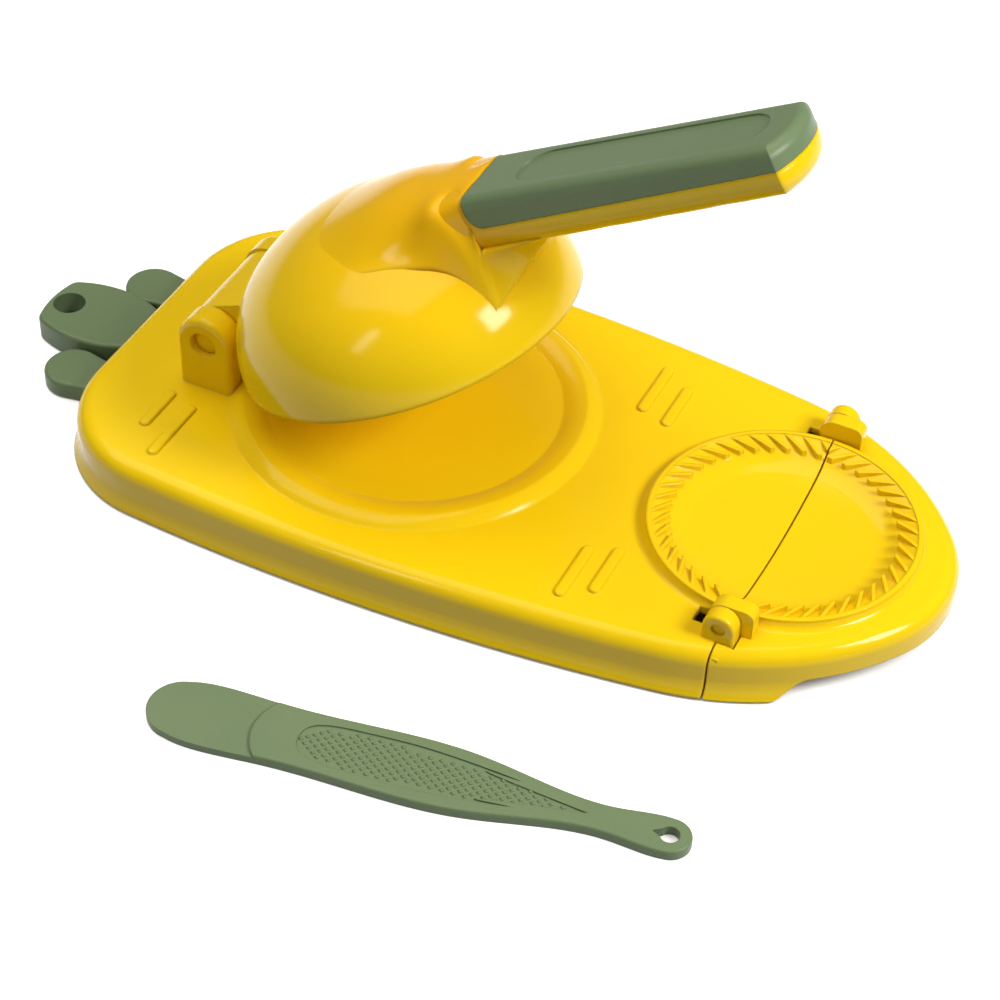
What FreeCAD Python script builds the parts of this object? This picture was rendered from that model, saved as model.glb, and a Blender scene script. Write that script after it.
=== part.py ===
import FreeCAD, Part
import math
import os

# Two-station dumpling press shaped like a carrot, in millimetres.
# X runs from the leaf to the tip, Y to the back, Z up.
# The origin is the axis of the dough well at table level.

V = FreeCAD.Vector
UP = V(0, 0, 1)
ACROSS = V(0, 1, 0)

# Base outline at its lower edge
left_end_x = -99.8
widest_x = -6.6
half_width = 72.6
corner_radius = 40.0
mould_x = 122.7
seam_half_width = 60.8
mould_to_tip = 55.0
tip_radius = 43.0
shoulder_radius = 92.0

# Moulded walls
wall = 2.2
deck_height = 17.2
foot_lift = 0.8
flare = 1.9
flare_height = 6.5
edge_radius = 5.0
deck_lap = 2.0
seam_gap = 0.6
rib_thickness = 1.8
rib_bottom = 3.5
root = 1.2

# Dough well
well_radius = 58.2
well_crest_radius = 53.4
well_floor_radius = 46.0
well_rise = 2.7
well_floor_rise = 0.8

# Crimping mould
ring_radius = 41.0
ring_rise = 3.2
ring_lip = 1.5
ring_foot = 2.4
tooth_band = 6.2
tooth_band_drop = 3.2
tooth_count = 22
tooth_width = 1.5
tooth_slant = 42.0
tooth_below_lip = 0.25
bowl_depth = 7.8
bowl_crown_radius = 160.0
bowl_shoulder_radius = 16.0

# Flap hinge
flap_axis_over_ring = 1.1
flap_lug_radius = 5.0
flap_lug_width = 5.0
flap_lug_drop = 7.2
flap_lug_rounding = 1.0
knuckle_reach = 8.5
knuckle_corner_radius = 2.8
flap_pin_radius = 2.0
flap_pin_play = 0.08
flap_pin_recess = 1.0
hinge_side_gap = 0.3
hinge_round_gap = 0.5
scoop_start = 15.4
scoop_run = 12.0
scoop_height = 7.0

# Lid hinge
lid_axis_x = -61.0
lid_axis_z = 34.4
lid_lug_radius = 9.3
lid_lug_inner = 16.4
lid_lug_width = 8.4
lid_lug_rounding = 2.0
lid_barrel_radius = 8.6
lid_pin_radius = 4.4
lid_pin_play = 0.1
lid_pin_recess = 2.4
lid_pin_grip = 9.0
lid_open_angle = 22.0

# Pressing dome
dome_radius = 54.25
dome_height = 42.0
dome_shoulder_radius = 35.6
dome_rim_z = 26.4
lid_swing_gap = 0.8

# Press plate
plate_radius = 42.5
plate_wall = 2.0
plate_face_gap = 1.2
plate_seat_rise = 3.6
plate_edge_gap = 0.3
plate_rounding = 2.4
ledge_width = 4.0
ledge_height = 2.0

# Handle, in its own slanted frame
handle_start_x = 43.7
handle_start_z = 64.3
handle_slope = 7.6
handle_length = 99.4
handle_half_width = 14.0
handle_end_bulge = 4.6
handle_depth = 8.8
handle_rounding = 6.0
cover_start_height = 9.7
cover_end_height = 6.8
cover_rounding = 3.4
cover_heel_radius = 4.5
cover_gap = 0.1
neck_lip = 0.2
cover_panel_depth = 0.5
cover_panel_margin = 5.2
cover_panel_start = 14.0
cover_panel_end = 5.0
grip_count = 4
grip_pitch = 18.4
grip_depth = 1.3
grip_length = 15.0
grip_start = 24.0

# Screws and their posts
screw_radius = 1.5
screw_head_radius = 2.9
screw_head_height = 1.8
screw_bite = 6.0
post_radius = 3.6

# Rubber feet
foot_thickness = 1.6
foot_plug_radius = 2.0
foot_plug_length = 4.0
foot_bevel = 0.6
centre_foot_radius = 12.0
corner_foot_radius = 6.5
flap_foot_radius = 3.6
foot_boss_margin = 1.2
corner_feet_left_x = -72.0
corner_feet_right_x = 72.0
corner_feet_y = 46.0
flap_feet_ahead = 14.0
flap_feet_y = 43.0

# Decorative deck ribs, as place along X, near end and far end in Y
deck_ribs = [
    (-69.1, -32.4, -47.2), (-59.9, -35.6, -57.4),
    (-69.1, 32.4, 47.2), (-59.9, 35.6, 57.4),
    (75.2, -35.2, -54.7), (83.5, -31.9, -48.9),
    (63.7, 30.6, 50.9), (73.0, 27.7, 44.5),
]
deck_rib_half_width = 1.7
deck_rib_rise = 1.0

# Leaf
leaf_bottom = 0.5
leaf_top = 8.6
leaf_lobe_top = 6.0
leaf_lobe_ahead = 12.0
leaf_lobe_y = 24.2
leaf_lobe_radius = 9.2
leaf_lobe_root_half_width = 7.0
leaf_rounding = 1.2
leaf_reach = 36.0
leaf_end_bulge = 1.8
leaf_end_half_width = 10.8
leaf_half_width = 14.6
leaf_belly_ahead = 21.0
leaf_root_half_width = 10.2
leaf_corner_radius = 4.0
leaf_hole_reach = 29.0
leaf_hole_radius = 5.3
leaf_hole_wall = 2.6
leaf_wall = 2.2
tongue_half_width = 20.0
tongue_length = 17.0
tongue_bottom = 2.6
tongue_top = 7.4
tongue_gap = 0.2
leaf_screw_y = 13.0
leaf_screw_inset = 12.0

# Filling spatula, lying in front of the press
spatula_x = -15.0
spatula_y = -133.2
spatula_turn = 8.4
spatula_length = 158.0
spatula_thickness = 3.2
blade_thickness = 2.4
blade_length = 37.0
blade_half_width = 10.6
spatula_neck_half_width = 4.9
spatula_eye_half_width = 6.2
spatula_eye_radius = 2.8
spatula_rounding = 0.8
grip_field_start = 45.0
grip_field_end = 129.0
grip_field_margin = 3.0
grip_field_depth = 0.5

# Places that follow from the sizes above
tip_x = mould_x + mould_to_tip
deck_under = deck_height - wall
rib_top = deck_under + root
ring_top = deck_height + ring_rise
flap_axis_z = ring_top + flap_axis_over_ring
well_floor_z = deck_height + well_floor_rise
plate_face_z = well_floor_z + plate_face_gap
plate_seat_z = dome_rim_z + plate_seat_rise
lid_barrel_half = lid_lug_inner - hinge_side_gap
lid_lug_outer = lid_lug_inner + lid_lug_width
base_end_x = mould_x - seam_gap / 2
flap_end_x = mould_x + seam_gap / 2
knuckle_inner = ring_radius + hinge_side_gap * 2
knuckle_outer = knuckle_inner + flap_lug_width
flap_lug_inner = knuckle_outer + hinge_side_gap
flap_lug_outer = flap_lug_inner + flap_lug_width
handle_screw_places = [handle_length * 0.2, handle_length * 0.8]


def polar(centre, radius, degrees):
    """Point of a flat circle, with the centre's height kept."""
    angle = math.radians(degrees)
    return centre + V(radius * math.cos(angle), radius * math.sin(angle), 0)


def circles_meet(centre_a, radius_a, centre_b, radius_b):
    """The two points that lie at the given distances from two flat centres."""
    across = centre_b - centre_a
    span = across.Length
    along = (radius_a ** 2 - radius_b ** 2 + span ** 2) / (2 * span)
    rise = math.sqrt(radius_a ** 2 - along ** 2)
    direction = across / span
    side = V(-direction.y, direction.x, 0)
    middle = centre_a + direction * along
    return middle + side * rise, middle - side * rise


def arc_between(centre, start, end):
    """Shorter circular arc about a centre, from start to end."""
    middle = (start - centre) + (end - centre)
    middle = centre + middle / middle.Length * (start - centre).Length
    return Part.Arc(start, middle, end).toShape()


def line(start, end):
    return Part.LineSegment(start, end).toShape()


def polyline(points):
    """Straight edges through the points, left open at the end."""
    return [line(start, end) for start, end in zip(points, points[1:])]


def face_of(edges):
    return Part.Face(Part.Wire(edges))


def box(x_range, y_range, z_range):
    size = V(x_range[1] - x_range[0], y_range[1] - y_range[0], z_range[1] - z_range[0])
    return Part.makeBox(size.x, size.y, size.z, V(x_range[0], y_range[0], z_range[0]))


def post(x, y, radius, bottom, top):
    return Part.makeCylinder(radius, top - bottom, V(x, y, bottom), UP)


def cross_post(x, z, radius, y_range):
    """Cylinder lying along Y."""
    return Part.makeCylinder(radius, y_range[1] - y_range[0], V(x, y_range[0], z), ACROSS)


def mirrored(shape):
    """The same piece on the back half."""
    return shape.mirror(V(0, 0, 0), ACROSS)


def both_sides(shape):
    return [shape, mirrored(shape)]


def turned(face):
    """Solid of revolution about the upright axis."""
    return face.revolve(V(0, 0, 0), UP, 360)


def joined(first, others):
    """One solid without seams between the pieces."""
    return first.fuse(others).removeSplitter()


def alone(shape):
    """The single solid of a piece, or the group where it has several."""
    return shape.Solids[0] if len(shape.Solids) == 1 else shape


def rounded(shape, radius, wanted):
    """Shape with the edges picked by wanted(edge) rounded."""
    return shape.makeFillet(radius, [edge for edge in shape.Edges if wanted(edge)])


def bevelled(shape, size, wanted):
    """Shape with the edges picked by wanted(edge) cut off at an angle."""
    return shape.makeChamfer(size, [edge for edge in shape.Edges if wanted(edge)])


def lies_at_height(z):
    return lambda edge: abs(edge.BoundBox.ZMin - z) < 1e-4 and abs(edge.BoundBox.ZMax - z) < 1e-4


class CarrotOutline:
    """Outline of tangent arcs: flat end, corner, long side, shoulder and tip."""

    def __init__(self):
        drop = half_width - seam_half_width
        reach = mould_x - widest_x
        self.side_radius = (reach ** 2 + drop ** 2) / (2 * drop)
        self.side = V(widest_x, half_width - self.side_radius, 0)
        self.tip = V(tip_x - tip_radius, 0, 0)
        corner_x = left_end_x + corner_radius
        corner_rise = (self.side_radius - corner_radius) ** 2 - (corner_x - widest_x) ** 2
        self.corner = V(corner_x, self.side.y + math.sqrt(corner_rise), 0)
        places = circles_meet(self.side, self.side_radius - shoulder_radius,
                              self.tip, shoulder_radius - tip_radius)
        self.shoulder = min(places, key=lambda place: place.x)

    def wire(self, inset, z):
        """Closed outline, moved inwards by inset, from the middle of the flat end."""
        lift = UP * z

        def touch(small, large, radius):
            direction = small - large
            return small + direction / direction.Length * (radius - inset) + lift

        end_x = left_end_x + inset
        end_back = V(end_x, self.corner.y, z)
        corner_out = touch(self.corner, self.side, corner_radius)
        shoulder_in = touch(self.shoulder, self.side, shoulder_radius)
        tip_in = touch(self.tip, self.shoulder, tip_radius)
        tip = V(tip_x - inset, 0, z)
        back = [
            line(V(end_x, 0, z), end_back),
            arc_between(self.corner + lift, end_back, corner_out),
            arc_between(self.side + lift, corner_out, shoulder_in),
            arc_between(self.shoulder + lift, shoulder_in, tip_in),
            arc_between(self.tip + lift, tip_in, tip),
        ]
        front = [mirrored(edge) for edge in reversed(back)]
        return Part.Wire(Part.__sortEdges__(back + front))


OUTLINE = CarrotOutline()


def skirt_section():
    """Cross-section of the skirt at the flat end, with its flare, rounded edge and deck lap."""
    def at(inset, z):
        return V(left_end_x + inset, 0, z)

    shoulder_z = deck_height - edge_radius
    lap = flare + edge_radius + deck_lap
    turn = at(flare + edge_radius, shoulder_z)
    outer_top = at(flare, shoulder_z)
    outer_deck = at(flare + edge_radius, deck_height)
    inner_top = at(flare + wall, shoulder_z)
    inner_deck = at(flare + edge_radius, deck_under)
    flare_middle = at(flare * 0.7, (foot_lift + flare_height) / 2)
    return face_of(
        [Part.Arc(at(0, foot_lift), flare_middle, at(flare, flare_height)).toShape()]
        + [line(at(flare, flare_height), outer_top), arc_between(turn, outer_top, outer_deck)]
        + polyline([outer_deck, at(lap, deck_height), at(lap, deck_under), inner_deck])
        + [arc_between(turn, inner_deck, inner_top)]
        + polyline([inner_top, at(flare + wall, flare_height), at(wall, foot_lift), at(0, foot_lift)])
    )


def carrot_shell():
    """Deck and skirt of the whole carrot, before it is parted at the mould."""
    skirt = OUTLINE.wire(0, foot_lift).makePipe(skirt_section())
    deck_inset = flare + edge_radius + deck_lap / 2
    deck = Part.Face(OUTLINE.wire(deck_inset, deck_under)).extrude(UP * wall)
    return joined(skirt, [deck])


def well_dish():
    """Floor and raised ring of the dough well."""
    crest_z = deck_height + well_rise
    floor_start = V(well_floor_radius, 0, well_floor_z)
    crest = V(well_crest_radius, 0, crest_z)
    slope_middle = (floor_start + crest) / 2 + UP * well_rise * 0.12
    outer = V(well_radius, 0, deck_height)
    fall_middle = (crest + outer) / 2 + UP * well_rise * 0.12
    under = well_floor_z - wall
    edges = [line(V(0, 0, well_floor_z), floor_start)]
    edges.append(Part.Arc(floor_start, slope_middle, crest).toShape())
    edges.append(Part.Arc(crest, fall_middle, outer).toShape())
    edges += polyline([outer, V(well_radius, 0, deck_under), V(well_crest_radius, 0, under),
                       V(0, 0, under), V(0, 0, well_floor_z)])
    return turned(face_of(edges))


def bowl_edges(rim, bottom):
    """Bowl wall from its rim to its lowest point: a shoulder arc tangent to a flat crown."""
    crown = bottom + UP * bowl_crown_radius
    flat_crown = V(crown.x, crown.z, 0)
    flat_rim = V(rim.x, rim.z, 0)
    places = circles_meet(flat_crown, bowl_crown_radius - bowl_shoulder_radius,
                          flat_rim, bowl_shoulder_radius)
    place = min(places, key=lambda spot: spot.x)
    shoulder = V(place.x, 0, place.y)
    direction = shoulder - crown
    touch = crown + direction / direction.Length * bowl_crown_radius
    return [arc_between(shoulder, rim, touch), arc_between(crown, touch, bottom)]


def mould_cup():
    """Whole crimping ring with its bowl, turned about the mould axis, without teeth."""
    lip_inner = ring_radius - ring_lip
    band_inner = lip_inner - tooth_band
    band_z = ring_top - tooth_band_drop
    bowl_z = ring_top - bowl_depth
    rim = V(band_inner, 0, band_z)
    outer_foot = V(ring_radius + ring_foot, 0, deck_height)
    outer_top = V(ring_radius, 0, ring_top - ring_rise * 0.3)
    foot_middle = (outer_foot + outer_top) / 2 - V(ring_foot, 0, ring_foot) * 0.17
    under_rim = V(band_inner, 0, band_z - wall)
    section = polyline([rim, V(lip_inner, 0, ring_top - tooth_below_lip), V(lip_inner, 0, ring_top),
                        V(ring_radius, 0, ring_top), outer_top])
    section.append(Part.Arc(outer_top, foot_middle, outer_foot).toShape())
    section += polyline([outer_foot, V(ring_radius + ring_foot, 0, deck_under),
                         V(lip_inner, 0, deck_under), under_rim])
    section += bowl_edges(under_rim, V(0, 0, bowl_z - wall))
    section.append(line(V(0, 0, bowl_z - wall), V(0, 0, bowl_z)))
    section += bowl_edges(rim, V(0, 0, bowl_z))
    cup = turned(Part.Face(Part.Wire(Part.__sortEdges__(section))))
    cup.translate(V(mould_x, 0, 0))
    return cup


def crimp_tooth(angle, lean):
    """One slanted tooth on the sloping band inside the lip, at an angle round the mould axis.

    lean is 1 where the tooth's inner end is ahead of its outer end, and -1 where it is behind.
    """
    lip_inner = ring_radius - ring_lip
    band_inner = lip_inner - tooth_band
    band_z = ring_top - tooth_band_drop
    crest = ring_top - tooth_below_lip
    inner_top = crest - tooth_band_drop * 0.25
    slope = -lean * math.tan(math.radians(tooth_slant))
    outline = polyline([V(band_inner, 0, band_z - root), V(lip_inner + ring_lip / 2, 0, band_z - root),
                        V(lip_inner + ring_lip / 2, 0, crest), V(lip_inner - tooth_band * 0.3, 0, crest),
                        V(band_inner, 0, inner_top), V(band_inner, 0, band_z - root)])
    tooth = face_of(outline).extrude(V(0, tooth_width, 0))
    tooth.translate(V(0, -tooth_width / 2, 0))
    shear = FreeCAD.Matrix()
    shear.A21 = slope
    tooth = tooth.transformGeometry(shear)
    tooth.translate(V(0, -slope * lip_inner, 0))
    tooth.rotate(V(0, 0, 0), UP, angle)
    tooth.translate(V(mould_x, 0, 0))
    return tooth


def crimp_teeth(first_angle, lean):
    """The teeth of one mould half, spread over half a turn with half a pitch free at each end."""
    pitch = 180.0 / tooth_count
    return [crimp_tooth(first_angle + pitch * (index + 0.5), lean) for index in range(tooth_count)]


def half_space(x_range):
    """Block that keeps only what lies between two places along X."""
    return box(x_range, (-2 * half_width, 2 * half_width), (-deck_height, 4 * deck_height))


def end_wall(x_range):
    """Upright wall that closes a half of the carrot at the seam."""
    reach = seam_half_width - flare - wall
    return box(x_range, (-reach, reach), (foot_lift, deck_under + 0.1))


def foot_boss(x, y, radius):
    """Boss hanging from the deck, on which a foot sits."""
    return post(x, y, radius + foot_boss_margin, foot_thickness, rib_top)


def foot_socket(x, y):
    """Hole in a boss for a foot's plug."""
    return post(x, y, foot_plug_radius, 0, foot_thickness + foot_plug_length + root)


def lid_lug():
    """Upright lug with a round top, on the front side of the lid's barrel."""
    left = lid_axis_x - lid_lug_radius
    right = lid_axis_x + lid_lug_radius
    y = -lid_lug_outer
    low = deck_under + root / 2
    top = V(lid_axis_x, y, lid_axis_z + lid_lug_radius)
    edges = polyline([V(left, y, lid_axis_z), V(left, y, low), V(right, y, low), V(right, y, lid_axis_z)])
    edges.append(Part.Arc(V(right, y, lid_axis_z), top, V(left, y, lid_axis_z)).toShape())
    lug = face_of(edges).extrude(ACROSS * lid_lug_width)
    lug = rounded(lug, lid_lug_rounding, lambda edge: edge.BoundBox.YMax < y + 0.01
                  and edge.BoundBox.ZMax > deck_height)
    lug = lug.cut(post(0, 0, dome_radius + lid_swing_gap, low, lid_axis_z + lid_lug_radius))
    bore = cross_post(lid_axis_x, lid_axis_z, lid_pin_radius + lid_pin_play, (-2 * lid_lug_outer, 0))
    return lug.cut(bore)


def flap_lug():
    """Upright lug of the base at the back, round on top, half over the seam."""
    y_range = (flap_lug_inner, flap_lug_outer)
    round_part = cross_post(mould_x, flap_axis_z, flap_lug_radius, y_range)
    low = flap_axis_z - flap_lug_drop
    over = box((mould_x - flap_lug_radius, mould_x + flap_lug_radius), y_range, (low, flap_axis_z))
    return rounded(joined(round_part, [over]), flap_lug_rounding,
                   lambda edge: edge.BoundBox.YMin > flap_lug_outer - 0.01
                   and edge.BoundBox.ZMax > deck_height)


def flap_lug_room():
    """Slot in the flap for the base's lug at the back, also while the flap swings over."""
    y_range = (flap_lug_inner - hinge_side_gap, flap_lug_outer + hinge_side_gap)
    side = flap_lug_radius + hinge_round_gap
    depth = math.hypot(flap_lug_radius, flap_lug_drop) + hinge_round_gap
    round_part = cross_post(mould_x, flap_axis_z, side, y_range)
    slot = box((mould_x - side, mould_x + side), y_range, (flap_axis_z - depth, flap_axis_z))
    return joined(round_part, [slot])


def flap_knuckle():
    """Knuckle of the flap at the back, with a block beside it that stands on the flap's deck."""
    y_range = (knuckle_inner, knuckle_outer)
    round_part = cross_post(mould_x, flap_axis_z, flap_lug_radius, y_range)
    low = deck_under + root / 2
    top = flap_axis_z + flap_lug_radius
    far = mould_x + knuckle_reach
    corner = V(far - knuckle_corner_radius, 0, top - knuckle_corner_radius)
    far_side = V(far, 0, corner.z)
    far_top = V(corner.x, 0, top)
    edges = polyline([far_top, V(mould_x, 0, top), V(mould_x, 0, flap_axis_z), V(flap_end_x, 0, flap_axis_z),
                      V(flap_end_x, 0, low), V(far, 0, low), far_side])
    edges.append(arc_between(corner, far_side, far_top))
    block = face_of(edges).extrude(ACROSS * flap_lug_width)
    block.translate(ACROSS * knuckle_inner)
    return joined(round_part, [block])


def flap_knuckle_room():
    """Notch in the base for the flap's knuckle at the back, also when the flap lies folded over."""
    y_range = (knuckle_inner - hinge_side_gap, knuckle_outer + hinge_side_gap)
    corner_reach = math.hypot(knuckle_reach - knuckle_corner_radius, flap_lug_radius - knuckle_corner_radius)
    swing = corner_reach + knuckle_corner_radius + hinge_round_gap
    return box((mould_x - swing, mould_x + swing), y_range, (deck_under - root, 2 * flap_axis_z))


def deck_rib(x, near_y, far_y):
    """Raised bar with round ends across the deck."""
    low, high = sorted([near_y, far_y])
    bottom = deck_under + root
    top = deck_height + deck_rib_rise
    bar = box((x - deck_rib_half_width, x + deck_rib_half_width), (low, high), (bottom, top))
    ends = [post(x, y, deck_rib_half_width, bottom, top) for y in (low, high)]
    return rounded(joined(bar, ends), deck_rib_rise * 0.7, lies_at_height(top))


def stiffening_ribs():
    """Walls under the deck that carry the pressing force to the skirt and feet."""
    left = left_end_x + tongue_length + 2 * wall
    right = mould_x - ring_radius - ring_foot
    side_y = corner_feet_y - corner_feet_y / 2
    ribs = [box((left, right), (y - rib_thickness / 2, y + rib_thickness / 2), (rib_bottom, rib_top))
            for y in (-side_y, side_y)]
    reach = seam_half_width - flare - wall
    for x in (corner_feet_left_x, 0, corner_feet_right_x):
        ribs.append(box((x - rib_thickness / 2, x + rib_thickness / 2), (-reach, reach),
                        (rib_bottom, rib_top)))
    return ribs


def leaf_screw_places():
    return [(left_end_x + leaf_screw_inset, y) for y in (-leaf_screw_y, leaf_screw_y)]


def corner_foot_places():
    return {
        "corner_foot_left_front": (corner_feet_left_x, -corner_feet_y),
        "corner_foot_left_back": (corner_feet_left_x, corner_feet_y),
        "corner_foot_right_front": (corner_feet_right_x, -corner_feet_y),
        "corner_foot_right_back": (corner_feet_right_x, corner_feet_y),
    }


def flap_foot_places():
    x = mould_x + flap_feet_ahead
    return {"flap_foot_front": (x, -flap_feet_y), "flap_foot_back": (x, flap_feet_y)}


def base_tray():
    """Main moulding: deck, skirt, dough well, fixed mould half, lugs, ribs, bosses and posts."""
    keep = half_space((2 * left_end_x, base_end_x))
    shell = carrot_shell().common(keep)
    shell = shell.cut(post(0, 0, well_radius, deck_under - wall, deck_height + wall))
    shell = shell.cut(post(mould_x, 0, ring_radius + ring_foot, deck_under - wall, deck_height + wall))
    cup = joined(mould_cup(), crimp_teeth(90, -1)).common(keep)
    under = stiffening_ribs() + [foot_boss(0, 0, centre_foot_radius)]
    under += [foot_boss(x, y, corner_foot_radius) for x, y in corner_foot_places().values()]
    under += [post(x, y, post_radius, tongue_top, rib_top) for x, y in leaf_screw_places()]
    under.append(end_wall((base_end_x - wall, base_end_x)).cut(cup_room()))
    lugs = both_sides(lid_lug())
    lugs += both_sides(flap_lug())
    tray = joined(shell, [well_dish(), cup] + under)
    for notch in both_sides(flap_knuckle_room()):
        tray = tray.cut(notch)
    tray = joined(tray, lugs + [deck_rib(*place) for place in deck_ribs])
    for bore in both_sides(cross_post(mould_x, flap_axis_z, flap_pin_radius + flap_pin_play,
                                      (knuckle_inner, flap_lug_outer + wall))):
        tray = tray.cut(bore)
    for x, y in leaf_screw_places():
        tray = tray.cut(post(x, y, screw_radius, tongue_top - wall, tongue_top + screw_bite))
    for x, y in [(0, 0)] + list(corner_foot_places().values()):
        tray = tray.cut(foot_socket(x, y))
    slot = box((left_end_x - wall, left_end_x + 2 * wall),
               (-tongue_half_width - tongue_gap, tongue_half_width + tongue_gap),
               (tongue_bottom - tongue_gap, tongue_top + tongue_gap))
    return tray.cut(slot).removeSplitter()


def cup_room():
    """Inside of the mould bowl and the ring, which no wall may fill."""
    lip_inner = ring_radius - ring_lip
    band_inner = lip_inner - tooth_band
    bowl_z = ring_top - bowl_depth
    rim = V(band_inner, 0, ring_top - tooth_band_drop)
    section = polyline([V(0, 0, bowl_z), V(0, 0, 2 * ring_top), V(lip_inner, 0, 2 * ring_top),
                        V(lip_inner, 0, ring_top - tooth_below_lip), rim])
    section += bowl_edges(rim, V(0, 0, bowl_z))
    room = turned(Part.Face(Part.Wire(Part.__sortEdges__(section))))
    room.translate(V(mould_x, 0, 0))
    return room


def finger_scoop():
    """Block whose top is the raised lower edge of the flap's tip."""
    start = V(mould_x + scoop_start, 0, 0)
    level = V(mould_x + scoop_start + scoop_run, 0, scoop_height)
    rise = Part.BezierCurve()
    pull = V(scoop_run * 0.5, 0, 0)
    rise.setPoles([start, start + pull, level - pull, level])
    far = V(tip_x + wall, 0, scoop_height)
    edges = [rise.toShape()] + polyline([level, far, V(far.x, 0, -wall), V(start.x, 0, -wall), start])
    scoop = face_of(edges).extrude(ACROSS * 4 * half_width)
    scoop.translate(V(0, -2 * half_width, 0))
    return scoop


def mould_flap():
    """Tip of the carrot with the swinging mould half, its knuckles and the finger scoop."""
    keep = half_space((flap_end_x, 2 * tip_x))
    shell = carrot_shell().common(keep)
    shell = shell.cut(post(mould_x, 0, ring_radius + ring_foot, deck_under - wall, deck_height + wall))
    cup = joined(mould_cup(), crimp_teeth(-90, 1)).common(keep)
    under = [foot_boss(x, y, flap_foot_radius) for x, y in flap_foot_places().values()]
    under.append(end_wall((flap_end_x, flap_end_x + wall)).cut(cup_room()))
    flap = joined(shell, [cup] + under).cut(finger_scoop())
    for notch in both_sides(flap_lug_room()):
        flap = flap.cut(notch)
    flap = joined(flap, both_sides(flap_knuckle()))
    for bore in both_sides(cross_post(mould_x, flap_axis_z, flap_pin_radius,
                                      (knuckle_inner + root / 2, flap_lug_outer + wall))):
        flap = flap.cut(bore)
    for x, y in flap_foot_places().values():
        flap = flap.cut(foot_socket(x, y))
    return flap.removeSplitter()


def flap_hinge_pin():
    """Stub pin at the back, pressed into the knuckle and running in the lug."""
    return cross_post(mould_x, flap_axis_z, flap_pin_radius,
                      (knuckle_inner + root / 2, flap_lug_outer - flap_pin_recess))


def lid_hinge_pin():
    """Stub pin at the back, running in the lug and pressed into the barrel."""
    return cross_post(lid_axis_x, lid_axis_z, lid_pin_radius,
                      (lid_barrel_half - lid_pin_grip, lid_lug_outer - lid_pin_recess))


def dome_solid(inset, bottom):
    """Filled dome moved inwards by inset: a shoulder arc tangent to the crown, down to bottom."""
    centre_radius = dome_radius - dome_shoulder_radius
    crown_radius = (centre_radius ** 2 + dome_height ** 2 - dome_shoulder_radius ** 2) \
        / (2 * (dome_height - dome_shoulder_radius))
    shoulder = V(centre_radius, 0, dome_rim_z)
    top_z = dome_rim_z + dome_height
    crown = V(0, 0, top_z - crown_radius)
    direction = shoulder - crown
    touch = crown + direction / direction.Length * (crown_radius - inset)
    rim = V(dome_radius - inset, 0, dome_rim_z)
    top = V(0, 0, top_z - inset)
    edges = [arc_between(shoulder, rim, touch), arc_between(crown, touch, top)]
    edges += polyline([top, V(0, 0, bottom), V(rim.x, 0, bottom)])
    if bottom < dome_rim_z:
        edges.append(line(V(rim.x, 0, bottom), rim))
    return turned(face_of(edges))


def to_handle(shape):
    """Shape moved from the handle's own frame to its place above the closed lid."""
    shape = shape.copy()
    shape.rotate(V(0, 0, 0), ACROSS, -handle_slope)
    shape.translate(V(handle_start_x, 0, handle_start_z))
    return shape


def handle_plan(inset, z):
    """Plan of the handle: square where it meets the neck, gently rounded at the far end."""
    half = handle_half_width - inset
    start = V(inset, -half, z)
    end = V(handle_length, -half, z)
    tip = V(handle_length + handle_end_bulge - inset, 0, z)
    end_back = V(handle_length, half, z)
    start_back = V(inset, half, z)
    return face_of([line(start, end), Part.Arc(end, tip, end_back).toShape(),
                    line(end_back, start_back), line(start_back, start)])


def grip_groove(index):
    """Shallow finger groove across the underside of the handle."""
    radius = (grip_length ** 2 / 4 + grip_depth ** 2) / (2 * grip_depth)
    middle = grip_start + grip_pitch * index
    return cross_post(middle, grip_depth - handle_depth - radius, radius,
                      (-2 * handle_half_width, 2 * handle_half_width))


def handle_under_shell():
    """Trough below the handle's parting plane, with finger grooves and screw bosses."""
    shell = handle_plan(0, -handle_depth).extrude(UP * handle_depth)
    shell = rounded(shell, handle_rounding, lambda edge: edge.BoundBox.ZMax < -handle_depth + 0.01
                    and edge.BoundBox.XMax > handle_length * 0.5)
    for index in range(grip_count):
        shell = shell.cut(grip_groove(index))
    hollow = handle_plan(wall, -handle_depth + wall + grip_depth).extrude(UP * handle_depth)
    shell = shell.cut(rounded(hollow, handle_rounding - wall, lambda edge: edge.BoundBox.ZMax < -wall
                              and edge.BoundBox.XMax > handle_length * 0.5))
    bosses = [post(x, 0, post_radius, -handle_depth + wall, -cover_gap) for x in handle_screw_places]
    shell = joined(shell, bosses)
    for x in handle_screw_places:
        shell = shell.cut(post(x, 0, screw_radius, -2 * handle_depth, handle_depth))
        shell = shell.cut(post(x, 0, screw_head_radius + cover_gap, -2 * handle_depth, screw_seat_z()))
    return to_handle(shell)


def screw_seat_z():
    """Height of the screw heads' seats, in the handle's frame."""
    return -handle_depth + screw_head_height + grip_depth


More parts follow.
